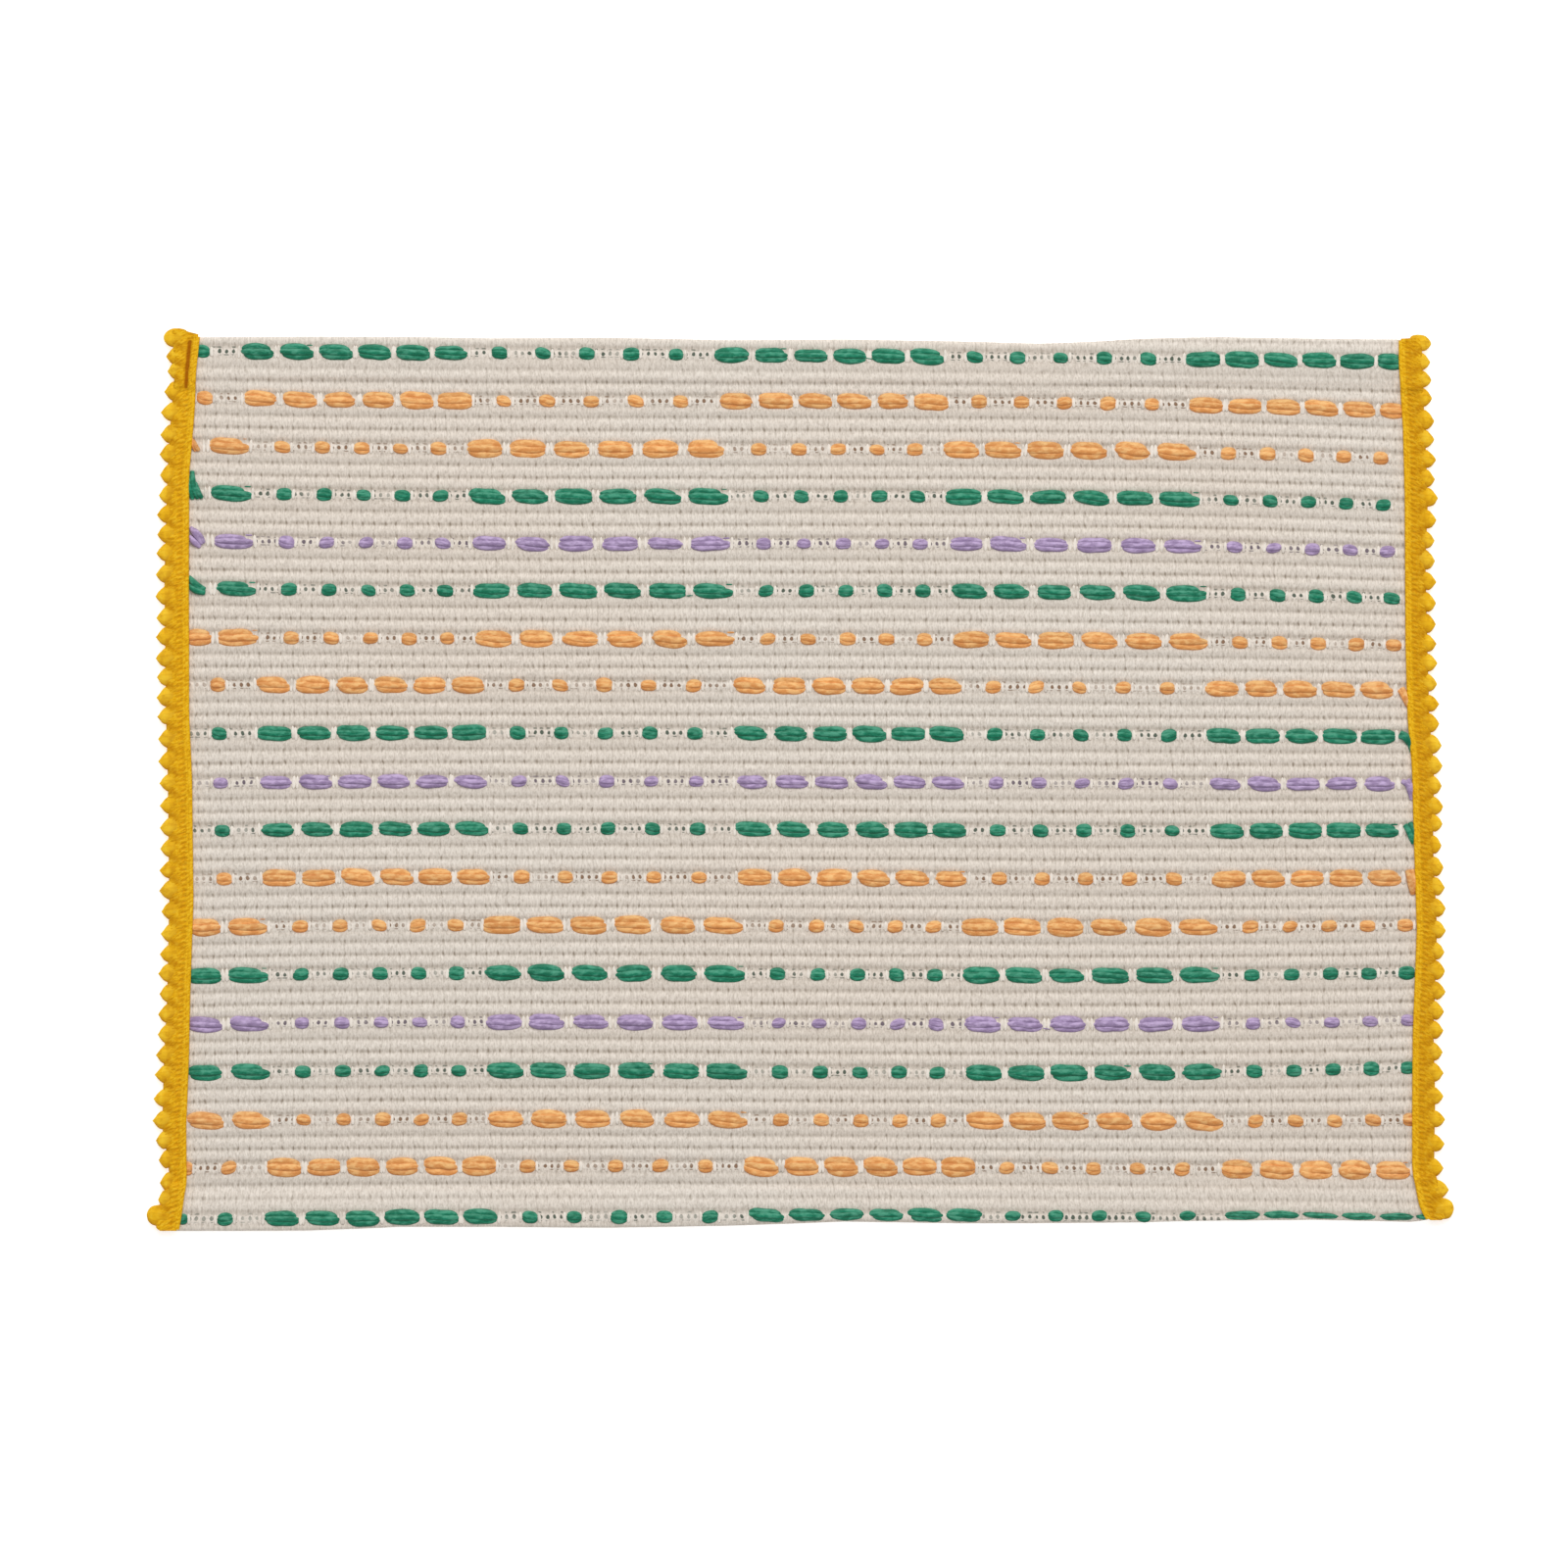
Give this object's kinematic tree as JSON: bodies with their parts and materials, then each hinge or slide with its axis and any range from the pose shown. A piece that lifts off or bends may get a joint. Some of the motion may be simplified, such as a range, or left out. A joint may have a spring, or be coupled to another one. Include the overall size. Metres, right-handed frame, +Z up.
{
  "type": "fabric placemat",
  "caption": "Thick ribbed woven table mat with rows of raised coloured floats, hemmed long edges and a looped bobble braid along each short edge.",
  "frame": {"origin": "middle of the mat's underside, on the surface that it lies on", "axes": "+Z up off the table, +X along the ribs from one braided end to the other, +Y across the ribs towards the edge shown at the top"},
  "size_m": [0.4881, 0.337, 0.0064],
  "materials": {
    "natural_cotton": "matte",
    "yellow_braid": "matte",
    "green_yarn": "matte",
    "orange_yarn": "matte",
    "purple_yarn": "matte"
  },
  "bodies": {
    "root": {"cloth": "natural_cotton", "braid_left": "yellow_braid", "braid_right": "yellow_braid"}
  },
  "joints": []
}
